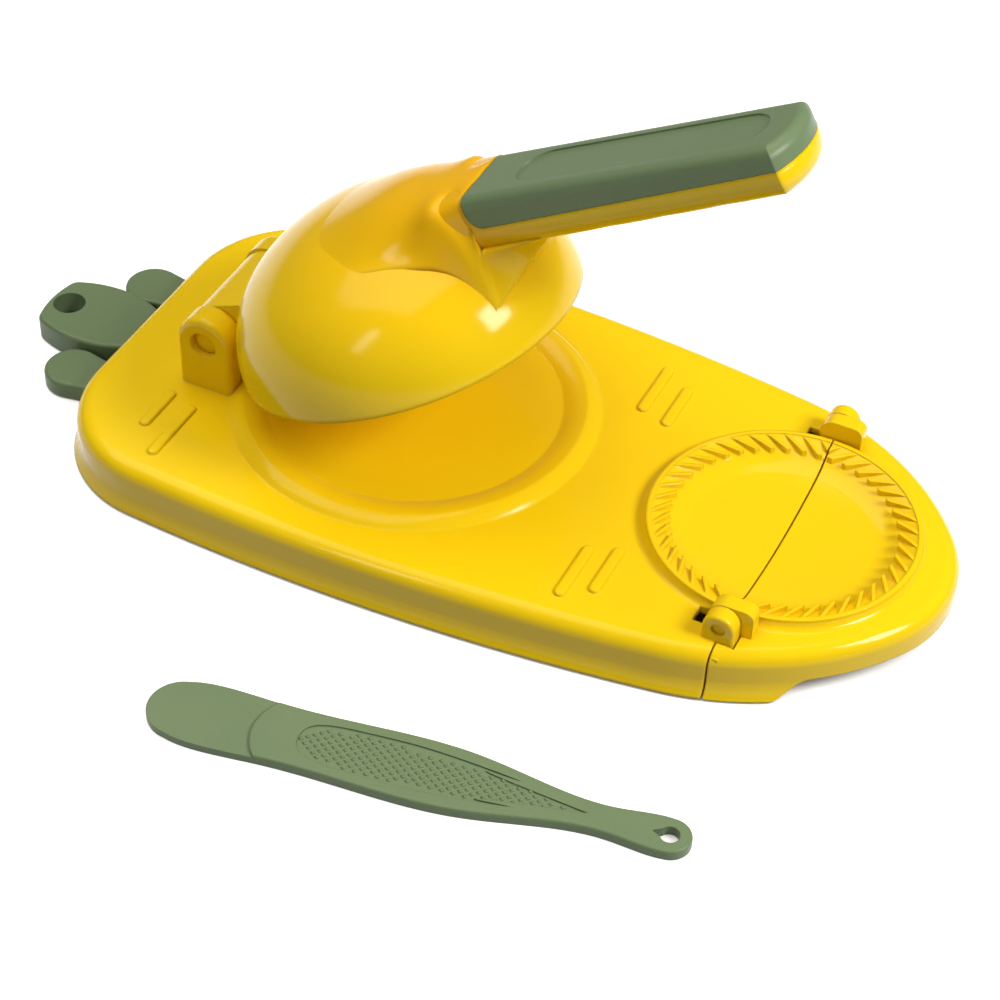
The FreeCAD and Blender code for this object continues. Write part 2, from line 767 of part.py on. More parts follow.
def handle_cover():
    """Upper half of the handle with a sunk panel on top and hollow below."""
    cover = handle_plan(cover_gap, cover_gap / 2).extrude(UP * 2 * cover_start_height)
    slope = math.degrees(math.atan2(cover_start_height - cover_end_height, handle_length))
    above = box((-handle_length, 2 * handle_length), (-2 * handle_half_width, 2 * handle_half_width),
                (0, 4 * cover_start_height))
    above.rotate(V(0, 0, 0), ACROSS, slope)
    above.translate(UP * cover_start_height)
    cover = cover.cut(above)
    cover = rounded(cover, cover_rounding, lambda edge: edge.BoundBox.ZMin > cover_end_height * 0.8
                    and edge.BoundBox.XMax > wall)
    cover = rounded(cover, cover_heel_radius, lambda edge: edge.BoundBox.XMax < wall
                    and edge.BoundBox.ZMax < cover_gap)
    panel_half = handle_half_width - cover_panel_margin
    ends = (cover_panel_start + panel_half, handle_length - cover_panel_end - panel_half)
    panel = box(ends, (-panel_half, panel_half), (0, cover_start_height))
    panel = joined(panel, [post(x, 0, panel_half, 0, cover_start_height) for x in ends])
    panel.translate(-UP * cover_start_height)
    panel.rotate(V(0, 0, 0), ACROSS, slope)
    panel.translate(UP * (2 * cover_start_height - cover_panel_depth))
    cover = cover.cut(panel)
    hollow = handle_plan(wall, 0).extrude(UP * (cover_end_height - wall - cover_panel_depth))
    bosses = [post(x, 0, post_radius, 0, cover_start_height) for x in handle_screw_places]
    hollow = hollow.cut(Part.makeCompound(bosses))
    cover = cover.cut(hollow)
    for x in handle_screw_places:
        cover = cover.cut(post(x, 0, screw_radius, 0, screw_top_z() + root / 4))
    return to_handle(cover)


def screw_top_z():
    return screw_seat_z() + screw_bite + handle_depth - screw_head_height - wall


def handle_point(along, high):
    """Point in the middle plane, given in the handle's own frame."""
    slope = math.radians(handle_slope)
    return V(handle_start_x + along * math.cos(slope) - high * math.sin(slope), 0,
             handle_start_z + along * math.sin(slope) + high * math.cos(slope))


def quarter_points(half, rise, power):
    """Points of a quarter loop from the side to the top, squarer with more power."""
    points = []
    for step in range(7):
        angle = math.radians(15 * step)
        points.append(V(0, half * math.cos(angle) ** (2 / power), rise * math.sin(angle) ** (2 / power)))
    return points


def leaning(wire, origin, tilt):
    """Upright wire leaned back by tilt degrees and moved to its place."""
    wire.rotate(V(0, 0, 0), ACROSS, -tilt)
    wire.translate(origin)
    return wire


def bell_loop(origin, tilt, half, rise, power, drop, flared):
    """Loop across the neck: a rounded top above the origin, and sides that flare out below it."""
    points = [V(0, half + flared, -drop), V(0, half + flared * 0.42, -drop * 0.62),
              V(0, half + flared * 0.1, -drop * 0.26)]
    points += quarter_points(half, rise, power)
    points += [V(0, -point.y, point.z) for point in reversed(points[:-1])]
    curve = Part.BSplineCurve()
    curve.interpolate(points)
    return leaning(Part.Wire([curve.toShape(), line(points[-1], points[0])]), origin, tilt)


def oval_loop(origin, tilt, half, rise, power):
    """Closed loop across the gusset."""
    quarter = quarter_points(half, rise, power)
    upper = quarter + [V(0, -point.y, point.z) for point in reversed(quarter[:-1])]
    points = upper + [V(0, point.y, -point.z) for point in reversed(upper[1:-1])]
    curve = Part.BSplineCurve()
    curve.interpolate(points, PeriodicFlag=True)
    return leaning(Part.Wire(curve.toShape()), origin, tilt)


def neck():
    """Neck that flows from the crown of the dome into the square end of the handle."""
    crown_z = dome_rim_z + dome_height
    inner_rise = dome_height * 0.28
    inner = V(-handle_start_x * 0.28, 0, crown_z - wall - inner_rise)
    middle_x = handle_start_x * 0.5
    top_slope = (cover_start_height - cover_end_height) / handle_length
    top_rise = math.tan(math.radians(handle_slope)) - top_slope
    middle_top = handle_point(0, cover_start_height).z - top_rise * (handle_start_x - middle_x)
    middle = V(middle_x, 0, middle_top - cover_start_height)
    reach = handle_half_width
    sections = [
        bell_loop(inner, 0, reach * 1.9, inner_rise, 2.2, reach, reach * 0.8),
        bell_loop(middle, handle_slope / 2, reach * 1.4, cover_start_height, 3.2, reach * 1.1, reach),
        bell_loop(handle_point(0, 0), handle_slope, reach + neck_lip, cover_start_height + neck_lip, 7.0,
                  handle_depth * 2, reach * 0.06),
    ]
    return Part.makeLoft(sections, True, False)


def gusset():
    """Web that carries the underside of the handle down to the shoulder of the dome."""
    reach = handle_half_width
    depth = handle_depth
    sections = [
        oval_loop(handle_point(-depth, -depth * 1.75), handle_slope, reach * 1.03, depth, 4.0),
        oval_loop(handle_point(depth * 0.5, -depth * 1.3), handle_slope, reach * 0.94, depth * 0.56, 3.4),
        oval_loop(handle_point(depth * 1.7, -depth * 0.84), handle_slope, reach * 0.72, depth * 0.14, 3.0),
    ]
    return Part.makeLoft(sections, True, False)


def cover_heel_seat():
    """Curved seat below the rounded heel of the cover."""
    radius = cover_heel_radius
    half = handle_half_width - cover_gap
    seat = box((0, radius), (-half, half), (-wall, radius))
    return to_handle(seat.cut(cross_post(radius, radius, radius, (-2 * half, 2 * half))))


def lid_shell():
    """Dome with its hinge barrel, neck and handle trough, built closed and then opened."""
    barrel = cross_post(lid_axis_x, lid_axis_z, lid_barrel_radius, (-lid_barrel_half, lid_barrel_half))
    web = box((lid_axis_x, lid_axis_x + 2 * lid_barrel_radius), (-lid_barrel_half, lid_barrel_half),
              (lid_axis_z - lid_barrel_radius * 0.6, lid_axis_z + lid_barrel_radius))
    lid = dome_solid(0, dome_rim_z)
    for piece in (barrel, web, neck(), gusset(), handle_under_shell(), cover_heel_seat()):
        lid = lid.fuse(piece)
    lid = lid.cut(dome_solid(wall, dome_rim_z - wall))
    ledge_outer = dome_radius - wall / 2
    ledge = post(0, 0, ledge_outer, plate_seat_z, plate_seat_z + ledge_height)
    ledge = ledge.cut(post(0, 0, ledge_outer - ledge_width, 0, 2 * plate_seat_z))
    lid = lid.fuse(ledge)
    for bore in both_sides(cross_post(lid_axis_x, lid_axis_z, lid_pin_radius,
                                      (lid_barrel_half - lid_pin_grip, 2 * lid_barrel_half))):
        lid = lid.cut(bore)
    return opened(lid)


def press_plate():
    """Dish that closes the dome, with a flange against the ledge and a flat pressing face."""
    flange_bottom = plate_seat_z - plate_wall
    rim_radius = dome_radius - wall - plate_edge_gap * 2
    plate = joined(post(0, 0, rim_radius, flange_bottom, plate_seat_z),
                   [post(0, 0, plate_radius, plate_face_z, plate_seat_z)])
    plate = rounded(plate, plate_rounding, lies_at_height(plate_face_z))
    hollow = post(0, 0, plate_radius - plate_wall, plate_face_z + plate_wall, 2 * plate_seat_z)
    return opened(plate.cut(hollow))


def opened(shape):
    """Piece of the lid turned from closed to the half-open rest."""
    shape = shape.copy()
    shape.rotate(V(lid_axis_x, 0, lid_axis_z), ACROSS, -lid_open_angle)
    return shape


def screw(length):
    """Pan-head screw standing on its head, its seat at the origin."""
    head = Part.makeCylinder(screw_head_radius, screw_head_height, V(0, 0, -screw_head_height), UP)
    head = bevelled(head, screw_head_height * 0.4, lies_at_height(-screw_head_height))
    slot = box((-screw_head_radius, screw_head_radius), (-screw_radius / 4, screw_radius / 4),
               (-2 * screw_head_height, -screw_head_height * 0.6))
    return joined(head, [post(0, 0, screw_radius, 0, length)]).cut(slot)


def handle_screws():
    length = screw_top_z() - screw_seat_z()
    screws = []
    for x in handle_screw_places:
        piece = screw(length)
        piece.translate(V(x, 0, screw_seat_z()))
        screws.append(opened(to_handle(piece)))
    return Part.makeCompound(screws)


def leaf_screws():
    screws = []
    for x, y in leaf_screw_places():
        piece = screw(tongue_top - tongue_bottom + screw_bite - root)
        piece.translate(V(x, y, tongue_bottom))
        screws.append(piece)
    return Part.makeCompound(screws)


def leaf_middle(inset, top):
    """Middle lobe moved inwards by inset: bowed sides and a blunt, rounded end."""
    def at(ahead, y):
        return V(left_end_x - ahead, y, leaf_bottom)

    corner = at(leaf_reach - leaf_end_bulge - inset, leaf_end_half_width - inset)
    belly = at(leaf_belly_ahead, leaf_half_width - inset)
    start = at(tongue_gap + inset, leaf_root_half_width - inset)
    side = Part.Arc(start, belly, corner).toShape()
    tip = at(leaf_reach - inset, 0)
    end = Part.Arc(corner, tip, V(corner.x, -corner.y, corner.z)).toShape()
    across = line(V(start.x, -start.y, start.z), start)
    lobe = face_of([side, end, mirrored(side), across]).extrude(UP * (top - leaf_bottom))
    return rounded(lobe, leaf_corner_radius - inset, lambda edge: edge.BoundBox.XMax < corner.x + 0.01
                   and edge.BoundBox.ZLength > leaf_wall)


def leaf_side_lobe():
    """Round lobe at the back, with straight sides that run to the base."""
    centre = V(left_end_x - leaf_lobe_ahead, leaf_lobe_y, leaf_bottom)
    start_x = left_end_x - tongue_gap

    def touch(root, turn):
        span = root - centre
        lean = math.atan2(span.y, span.x) + turn * math.acos(leaf_lobe_radius / span.Length)
        return polar(centre, leaf_lobe_radius, math.degrees(lean))

    far_root = V(start_x, leaf_lobe_y + leaf_lobe_root_half_width, leaf_bottom)
    near_root = V(start_x, leaf_lobe_y - leaf_lobe_root_half_width, leaf_bottom)
    far = touch(far_root, 1)
    near = touch(near_root, -1)
    tip = polar(centre, leaf_lobe_radius, 180)
    edges = [line(far_root, far), Part.Arc(far, tip, near).toShape(), line(near, near_root),
             line(near_root, far_root)]
    lobe = face_of(edges).extrude(UP * (leaf_lobe_top - leaf_bottom))
    return rounded(lobe, leaf_rounding, lambda edge: edge.BoundBox.ZMin > leaf_lobe_top - 0.01
                   and edge.BoundBox.XMin < start_x - leaf_rounding)


def leaf_tab():
    """Green leaf: three lobes, a hanging hole and a tongue that slips into the base."""
    start_x = left_end_x - tongue_gap
    middle = rounded(leaf_middle(0, leaf_top), leaf_rounding,
                     lambda edge: edge.BoundBox.ZMin > leaf_top - 0.01
                     and edge.BoundBox.XMin < start_x - leaf_rounding)
    hole_x = left_end_x - leaf_hole_reach
    pocket = leaf_middle(leaf_wall, leaf_top - leaf_wall)
    middle = middle.cut(pocket.cut(post(hole_x, 0, leaf_hole_radius + leaf_hole_wall, 0, leaf_top)))
    tongue = box((start_x - leaf_wall, left_end_x + tongue_length), (-tongue_half_width, tongue_half_width),
                 (tongue_bottom, tongue_top))
    leaf = joined(middle, both_sides(leaf_side_lobe()) + [tongue])
    leaf = leaf.cut(post(hole_x, 0, leaf_hole_radius, 0, 2 * leaf_top))
    for x, y in leaf_screw_places():
        leaf = leaf.cut(post(x, y, screw_radius + tongue_gap, 0, 2 * leaf_top))
    return leaf.removeSplitter()


def rubber_foot(x, y, radius):
    """Disc with a plug that sits in a boss."""
    seat = foot_thickness
    disc = bevelled(post(x, y, radius, 0, seat), foot_bevel, lies_at_height(0))
    return joined(disc, [post(x, y, foot_plug_radius, 0.5 * seat, seat + foot_plug_length)])


def spatula_outline():
    """Plan of the spatula from blade tip to eye, in its own frame."""
    eye_x = spatula_length - spatula_eye_half_width
    neck_x = eye_x - 2.6 * spatula_eye_half_width
    stations = [
        V(blade_half_width * 0.8, blade_half_width * 0.94, 0), V(blade_length, blade_half_width, 0),
        V(spatula_length * 0.6, blade_half_width, 0), V(spatula_length * 0.715, blade_half_width * 0.68, 0),
        V(neck_x, spatula_neck_half_width, 0), V(eye_x, spatula_eye_half_width, 0),
    ]
    side = Part.BSplineCurve()
    side.interpolate(stations, InitialTangent=V(1, 0.35, 0), FinalTangent=V(1, -0.1, 0))
    upper = side.toShape()
    blade_tip = Part.Arc(V(stations[0].x, -stations[0].y, 0), V(0, 0, 0), stations[0]).toShape()
    eye = Part.Arc(stations[-1], V(spatula_length, 0, 0), V(eye_x, -spatula_eye_half_width, 0)).toShape()
    return Part.Wire([blade_tip, upper, eye, mirrored(upper)])


def grip_field():
    """Sunk field on the spatula's handle, round towards the blade and pointed towards the eye."""
    length = grip_field_end - grip_field_start
    half = blade_half_width - grip_field_margin
    floor = spatula_thickness - grip_field_depth
    shares = [(0, 0), (0.07, 0.86), (0.2, 1), (0.55, 0.92), (0.75, 0.62), (1, 0)]
    points = [V(grip_field_start + along * length, wide * half, floor) for along, wide in shares]
    curve = Part.BSplineCurve()
    curve.interpolate(points, InitialTangent=V(0, 1, 0), FinalTangent=V(1, -0.15, 0))
    side = curve.toShape()
    return face_of([side, mirrored(side)]).extrude(UP * spatula_thickness)


def filling_spatula():
    """Flat spatula with a thinner blade, a sunk grip field and a teardrop eye."""
    body = Part.Face(spatula_outline()).extrude(UP * spatula_thickness)
    body = rounded(body, spatula_rounding, lies_at_height(spatula_thickness))
    blade_room = box((-blade_length, blade_length), (-2 * blade_half_width, 2 * blade_half_width),
                     (blade_thickness, 2 * spatula_thickness))
    blade_room = blade_room.cut(post(blade_length + blade_half_width, 0, blade_half_width * 1.5,
                                     0, 4 * spatula_thickness))
    body = body.cut(blade_room)
    body = body.cut(grip_field())
    eye_x = spatula_length - spatula_eye_half_width
    eye = post(eye_x, 0, spatula_eye_radius, 0, 2 * spatula_thickness)
    point_x = eye_x - 1.8 * spatula_eye_radius
    touch = spatula_eye_radius * 0.8
    wedge = face_of(polyline([V(point_x, 0, 0), V(eye_x - touch / 2, -touch, 0),
                              V(eye_x - touch / 2, touch, 0), V(point_x, 0, 0)]))
    body = body.cut(joined(eye, [wedge.extrude(UP * 2 * spatula_thickness)]))
    body.rotate(V(0, 0, 0), UP, spatula_turn)
    body.translate(V(spatula_x, spatula_y, 0))
    return body


def all_pieces():
    """Every piece under its name."""
    pieces = {
        "base_tray": base_tray(),
        "leaf_tab": leaf_tab(),
        "leaf_screws": leaf_screws(),
        "centre_foot": rubber_foot(0, 0, centre_foot_radius),
        "lid_shell": lid_shell(),
        "handle_cover": opened(handle_cover()),
        "handle_screws": handle_screws(),
        "press_plate": press_plate(),
        "lid_hinge_pin_back": lid_hinge_pin(),
        "lid_hinge_pin_front": mirrored(lid_hinge_pin()),
        "mould_flap": mould_flap(),
        "flap_hinge_pin_back": flap_hinge_pin(),
        "flap_hinge_pin_front": mirrored(flap_hinge_pin()),
        "filling_spatula": filling_spatula(),
    }
    for name, (x, y) in corner_foot_places().items():
        pieces[name] = rubber_foot(x, y, corner_foot_radius)
    for name, (x, y) in flap_foot_places().items():
        pieces[name] = rubber_foot(x, y, flap_foot_radius)
    return pieces


os.makedirs("parts", exist_ok=True)
for piece_name, piece_shape in all_pieces().items():
    piece = alone(piece_shape)
    print(piece_name, len(piece.Solids), piece.isValid(), "volume %.0f" % piece.Volume)
    piece.exportStep(os.path.join("parts", piece_name + ".step"))
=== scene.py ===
"""Finish of a carrot-shaped dumpling press and its filling spatula, laid out as an add-on."""

import math

import bmesh
import bpy
from mathutils import Matrix, Vector


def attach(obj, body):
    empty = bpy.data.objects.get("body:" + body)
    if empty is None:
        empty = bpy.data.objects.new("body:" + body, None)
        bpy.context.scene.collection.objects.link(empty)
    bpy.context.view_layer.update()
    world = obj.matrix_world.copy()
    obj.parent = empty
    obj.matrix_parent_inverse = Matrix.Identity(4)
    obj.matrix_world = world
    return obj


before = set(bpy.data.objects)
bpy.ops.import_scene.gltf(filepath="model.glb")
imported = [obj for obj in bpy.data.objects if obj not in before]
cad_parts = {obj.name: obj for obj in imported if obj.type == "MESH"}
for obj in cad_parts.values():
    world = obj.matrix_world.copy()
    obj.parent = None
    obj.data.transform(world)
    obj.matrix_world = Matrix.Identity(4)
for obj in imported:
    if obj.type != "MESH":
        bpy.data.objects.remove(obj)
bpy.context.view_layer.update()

bl_info = {
    "name": "Dumpling Press Finish",
    "version": (1, 0, 0),
    "blender": (4, 5, 0),
    "location": "View3D > Sidebar > Press",
    "description": "Gives the dumpling press its finishes, grip studs, neck fairing and studio",
    "category": "Object",
}

MM = 0.001
# Along the lid, the painted shade that deepens the yellow towards the top fades out between these two places,
# so that the handle stays clear of it.
TOP_SHADE_END_FROM, TOP_SHADE_END_TO = 15 * MM, 55 * MM


class Wire:
    """A socket of a node that takes part in plain arithmetic."""

    def __init__(self, board, socket):
        self.board = board
        self.socket = socket

    def __add__(self, other):
        return self.board.maths("ADD", self, other)

    def __radd__(self, other):
        return self.board.maths("ADD", other, self)

    def __sub__(self, other):
        return self.board.maths("SUBTRACT", self, other)

    def __rsub__(self, other):
        return self.board.maths("SUBTRACT", other, self)

    def __mul__(self, other):
        return self.board.maths("MULTIPLY", self, other)

    def __rmul__(self, other):
        return self.board.maths("MULTIPLY", other, self)

    def __truediv__(self, other):
        return self.board.maths("DIVIDE", self, other)

    def __rtruediv__(self, other):
        return self.board.maths("DIVIDE", other, self)

    def between(self, low, high):
        """Soft step from 0 at low to 1 at high."""
        return self.board.node("ShaderNodeMapRange", {"interpolation_type": "SMOOTHSTEP"},
                               {"Value": self, "From Min": low, "From Max": high})


class Board:
    """The nodes of one material or world."""

    def __init__(self, tree):
        self.tree = tree
        tree.nodes.clear()

    def node(self, kind, settings=None, sockets=None, output=0):
        """Adds a node, sets it up, fills its sockets and gives back one output."""
        node = self.tree.nodes.new(kind)
        for key, value in (settings or {}).items():
            setattr(node, key, value)
        for key, value in (sockets or {}).items():
            if isinstance(value, Wire):
                self.tree.links.new(value.socket, node.inputs[key])
            else:
                node.inputs[key].default_value = value
        return Wire(self, node.outputs[output]) if node.outputs else None

    def maths(self, operation, first, second):
        return self.node("ShaderNodeMath", {"operation": operation}, {0: first, 1: second})

    def mix(self, share, first, second, blend="MIX"):
        """Colour between first and second."""
        settings = {"data_type": "RGBA", "blend_type": blend}
        return self.node("ShaderNodeMix", settings, {0: share, 6: first, 7: second}, 2)

    def place(self):
        """Object coordinates, in metres."""
        return self.node("ShaderNodeTexCoord", output="Object")

    def stretched(self, scale):
        """Object coordinates squeezed along the axes, so that a pattern runs in one direction."""
        return self.node("ShaderNodeMapping", None, {"Vector": self.place(), "Scale": scale})

    def noise(self, vector, scale, detail=2.0, roughness=0.5):
        return self.node("ShaderNodeTexNoise", None, {"Vector": vector, "Scale": scale, "Detail": detail,
                                                       "Roughness": roughness})

    def soft_edges(self, radius):
        """Normal that rounds every sharp edge over the radius."""
        return self.node("ShaderNodeBevel", {"samples": 6}, {"Radius": radius})

    def hollows(self, distance):
        """Is 1 in the open and falls towards 0 in corners and grooves."""
        return self.node("ShaderNodeAmbientOcclusion", {"samples": 6, "only_local": True},
                         {"Distance": distance}, "AO")

    def edges(self, rounded_normal):
        """Is 1 on sharp edges."""
        facing = self.node("ShaderNodeNewGeometry", output="Normal")
        likeness = self.node("ShaderNodeVectorMath", {"operation": "DOT_PRODUCT"},
                             {0: rounded_normal, 1: facing}, "Value")
        return (1 - likeness).between(0.01, 0.12)


def colour(values):
    """Colour of a property with full opacity."""
    return (values[0], values[1], values[2], 1.0)


def new_finish(name):
    material = bpy.data.materials.new(name)
    material.use_nodes = True
    return material, Board(material.node_tree)


def close_finish(board, sockets):
    """Ends a material with its surface shader."""
    shader = board.node("ShaderNodeBsdfPrincipled", None, sockets)
    board.node("ShaderNodeOutputMaterial", None, {"Surface": shader})


def moulded_yellow(name, look, softness, top_shade_from, top_shade_to, top_shade_share):
    """Glossy yellow moulding: cloudy pigment, painted shade that turns it deeper orange with height but not
    along the handle, painted shade in grooves and corners, and edges painted paler as a highlight and made a
    little rougher.
    """
    material, board = new_finish(name)
    place = board.place()
    cloud = board.noise(place, 22.0, 3.0)
    fine_cloud = board.noise(place, 140.0, 2.0)
    height = board.node("ShaderNodeSeparateXYZ", None, {0: place}, "Z")
    along = board.node("ShaderNodeSeparateXYZ", None, {0: place}, "X")
    # Painted shade: the yellow turns deeper orange with height, standing in for how the light falls on the
    # top of the lid.
    painted_top_shade = height.between(top_shade_from, top_shade_to) * (1 - along.between(TOP_SHADE_END_FROM, TOP_SHADE_END_TO)) * top_shade_share
    pigment = board.mix(cloud.between(0.3, 0.75) * 0.3 + fine_cloud.between(0.5, 0.8) * 0.06,
                        colour(look.yellow), colour(look.yellow_deep))
    pigment = board.mix(painted_top_shade, pigment, colour(look.yellow_top_shade))
    open_air = board.hollows(5 * MM)
    # Painted shade: grooves and corners are darkened by ambient occlusion.
    pigment = board.mix((1 - open_air).between(0.25, 0.95) * 0.6, pigment, colour(look.yellow_shade))
    rounded_normal = board.soft_edges(softness)
    # Painted highlight: open sharp edges are painted paler, standing in for the light they catch.
    painted_edge_highlight = board.edges(board.soft_edges(look.edge_softness)) * open_air.between(0.55, 0.9)
    pigment = board.mix(painted_edge_highlight * 0.35, pigment, colour(look.yellow_edge_highlight))
    scuffs = board.noise(board.stretched((90.0, 160.0, 120.0)), 1.0, 4.0, 0.6)
    # The painted edge highlight mask also makes the edges a little rougher.
    gloss = look.yellow_roughness + cloud * 0.05 + scuffs.between(0.55, 0.8) * 0.04 + painted_edge_highlight * 0.08
    peel = board.noise(place, 520.0, 2.0) + board.noise(place, 1900.0, 1.0) * 0.25
    skin = board.node("ShaderNodeBump", None, {"Strength": 0.1, "Distance": look.peel_height,
                                               "Height": peel, "Normal": rounded_normal})
    close_finish(board, {"Base Color": pigment, "Roughness": gloss, "IOR": 1.49, "Specular IOR Level": 0.22,
                         "Normal": skin})
    return material


def moulded_green(name, look):
    """Satin green moulding with a fine spark-eroded grain, edges painted paler as a highlight, painted shade
    in grooves and corners, and a faint handling sheen.
    """
    material, board = new_finish(name)
    place = board.place()
    cloud = board.noise(place, 28.0, 3.0)
    speckle = board.noise(place, 1500.0, 2.0)
    pigment = board.mix(cloud.between(0.3, 0.75) * 0.55, colour(look.green), colour(look.green_deep))
    pigment = board.mix(speckle.between(0.55, 0.8) * 0.18, pigment, colour(look.green_speck_and_edge_highlight))
    open_air = board.hollows(4 * MM)
    # Painted shade: grooves and corners are darkened by ambient occlusion.
    pigment = board.mix((1 - open_air).between(0.25, 0.95) * 0.55, pigment, colour(look.green_shade))
    rounded_normal = board.soft_edges(look.edge_softness)
    # Painted highlight: open sharp edges are painted paler, standing in for the light they catch.
    painted_edge_highlight = board.edges(rounded_normal) * open_air.between(0.55, 0.9)
    pigment = board.mix(painted_edge_highlight * 0.45, pigment, colour(look.green_speck_and_edge_highlight))
    handled = board.noise(board.stretched((35.0, 60.0, 60.0)), 1.0, 3.0)
    gloss = look.green_roughness - handled.between(0.5, 0.75) * 0.08 + speckle * 0.06
    grain = speckle + board.noise(place, 4200.0, 1.0) * 0.5
    skin = board.node("ShaderNodeBump", None, {"Strength": 0.16, "Distance": look.grain_height,
                                               "Height": grain, "Normal": rounded_normal})
    close_finish(board, {"Base Color": pigment, "Roughness": gloss, "IOR": 1.47, "Specular IOR Level": 0.35,
                         "Normal": skin})
    return material


def foot_rubber(name, look):
    """Matt rubber with pale dust, and its edges painted paler as a highlight."""
    material, board = new_finish(name)
    place = board.place()
    dust = board.noise(place, 260.0, 4.0, 0.6)
    rounded_normal = board.soft_edges(look.edge_softness)
    painted_edge_highlight = board.edges(rounded_normal)
    # Pale dust patches, and a painted highlight that makes the edges paler.
    pigment = board.mix(dust.between(0.45, 0.75) * 0.35 + painted_edge_highlight * 0.25, colour(look.rubber),
                        colour(look.rubber_dust_and_edge_highlight))
    skin = board.node("ShaderNodeBump", None, {"Strength": 0.25, "Distance": look.grain_height,
                                               "Height": board.noise(place, 2400.0, 2.0),
                                               "Normal": rounded_normal})
    close_finish(board, {"Base Color": pigment, "Roughness": 0.78 + dust * 0.12, "Normal": skin})
    return material


def plated_steel(name, look):
    """Zinc-plated screw steel with turning marks, tarnish, and painted shade that darkens its slots."""
    material, board = new_finish(name)
    place = board.place()
    marks = board.noise(board.stretched((900.0, 900.0, 4200.0)), 1.0, 2.0)
    tarnish = board.noise(place, 320.0, 3.0)
    open_air = board.hollows(1.5 * MM)
    # Tarnish patches, and painted shade that darkens the slots.
    pigment = board.mix(tarnish.between(0.4, 0.75) * 0.5 + (1 - open_air) * 0.4, colour(look.steel),
                        colour(look.steel_tarnish_and_shade))
    skin = board.node("ShaderNodeBump", None, {"Strength": 0.2, "Distance": look.grain_height,
                                               "Height": marks, "Normal": board.soft_edges(0.2 * MM)})
    close_finish(board, {"Base Color": pigment, "Roughness": 0.28 + tarnish * 0.2, "Metallic": 1.0,
                         "Normal": skin})
    return material


def dress(material, *nodes):
    """Gives CAD nodes their finish."""
    for name in nodes:
        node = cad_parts[name]
        node.data.materials.clear()
        node.data.materials.append(material)


def finished_piece(name, mesh, body, material):
    """Object of a new piece, riding on its body."""
    shape = bpy.data.meshes.new(name)
    mesh.to_mesh(shape)
    mesh.free()
    shape.materials.append(material)
    piece = bpy.data.objects.new(name, shape)
    bpy.context.scene.collection.objects.link(piece)
    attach(piece, body)
    return piece


def smooth_line(points, steps):
    """Points of a rounded line through the given points, with so many steps to each span."""
    ends = [2 * points[0] - points[1], *points, 2 * points[-1] - points[-2]]
    line = [points[0]]
    for before, start, stop, after in zip(ends, ends[1:], ends[2:], ends[3:]):
        for step in range(1, steps + 1):
            share = step / steps
            pull = (stop - before) * share + (2 * before - 5 * start + 4 * stop - after) * share ** 2
            bend = (3 * start - before - 3 * stop + after) * share ** 3
            line.append(start + (pull + bend) / 2)
    return line


def add_skin(mesh, sections, across_steps, along_steps):
    """Rounded skin through sections of as many points each, with a straight underside and flat ends."""
    sections = [smooth_line(section, across_steps) for section in sections]
    columns = [smooth_line(list(column), along_steps) for column in zip(*sections)]
    grid = [[mesh.verts.new(point) for point in column] for column in columns]
    for column, following in zip(grid, grid[1:]):
        for near, far, next_near, next_far in zip(column, column[1:], following, following[1:]):
            mesh.faces.new((near, far, next_far, next_near)).smooth = True
    first, last = grid[0], grid[-1]
    flat = [mesh.faces.new((near, next_near, next_far, far))
            for near, far, next_near, next_far in zip(first, first[1:], last, last[1:])]
    flat += [mesh.faces.new([column[end] for column in grid]) for end in (0, -1)]
    for face in flat:
        for edge in face.edges:
            edge.smooth = False


def colour_property(title, note, default):
    return bpy.props.FloatVectorProperty(name=title, description=note, subtype="COLOR", size=3, min=0.0,
                                         max=1.0, default=default)


def share_property(title, note, default):
    return bpy.props.FloatProperty(name=title, description=note, subtype="FACTOR", min=0.0, max=1.0,
                                   default=default)


def length_property(title, note, default, low=0.0):
    return bpy.props.FloatProperty(name=title, description=note, unit="LENGTH", subtype="DISTANCE", min=low,
                                   default=default, precision=5)


def power_property(title, note, default):
    return bpy.props.FloatProperty(name=title, description=note, unit="POWER", min=0.0, default=default)


def angle_property(title, note, degrees):
    return bpy.props.FloatProperty(name=title, description=note, unit="ROTATION", subtype="ANGLE",
                                   default=math.radians(degrees))


def place_property(title, note, default):
    return bpy.props.FloatVectorProperty(name=title, description=note, unit="LENGTH", subtype="TRANSLATION",
                                         size=3, default=default, precision=4)


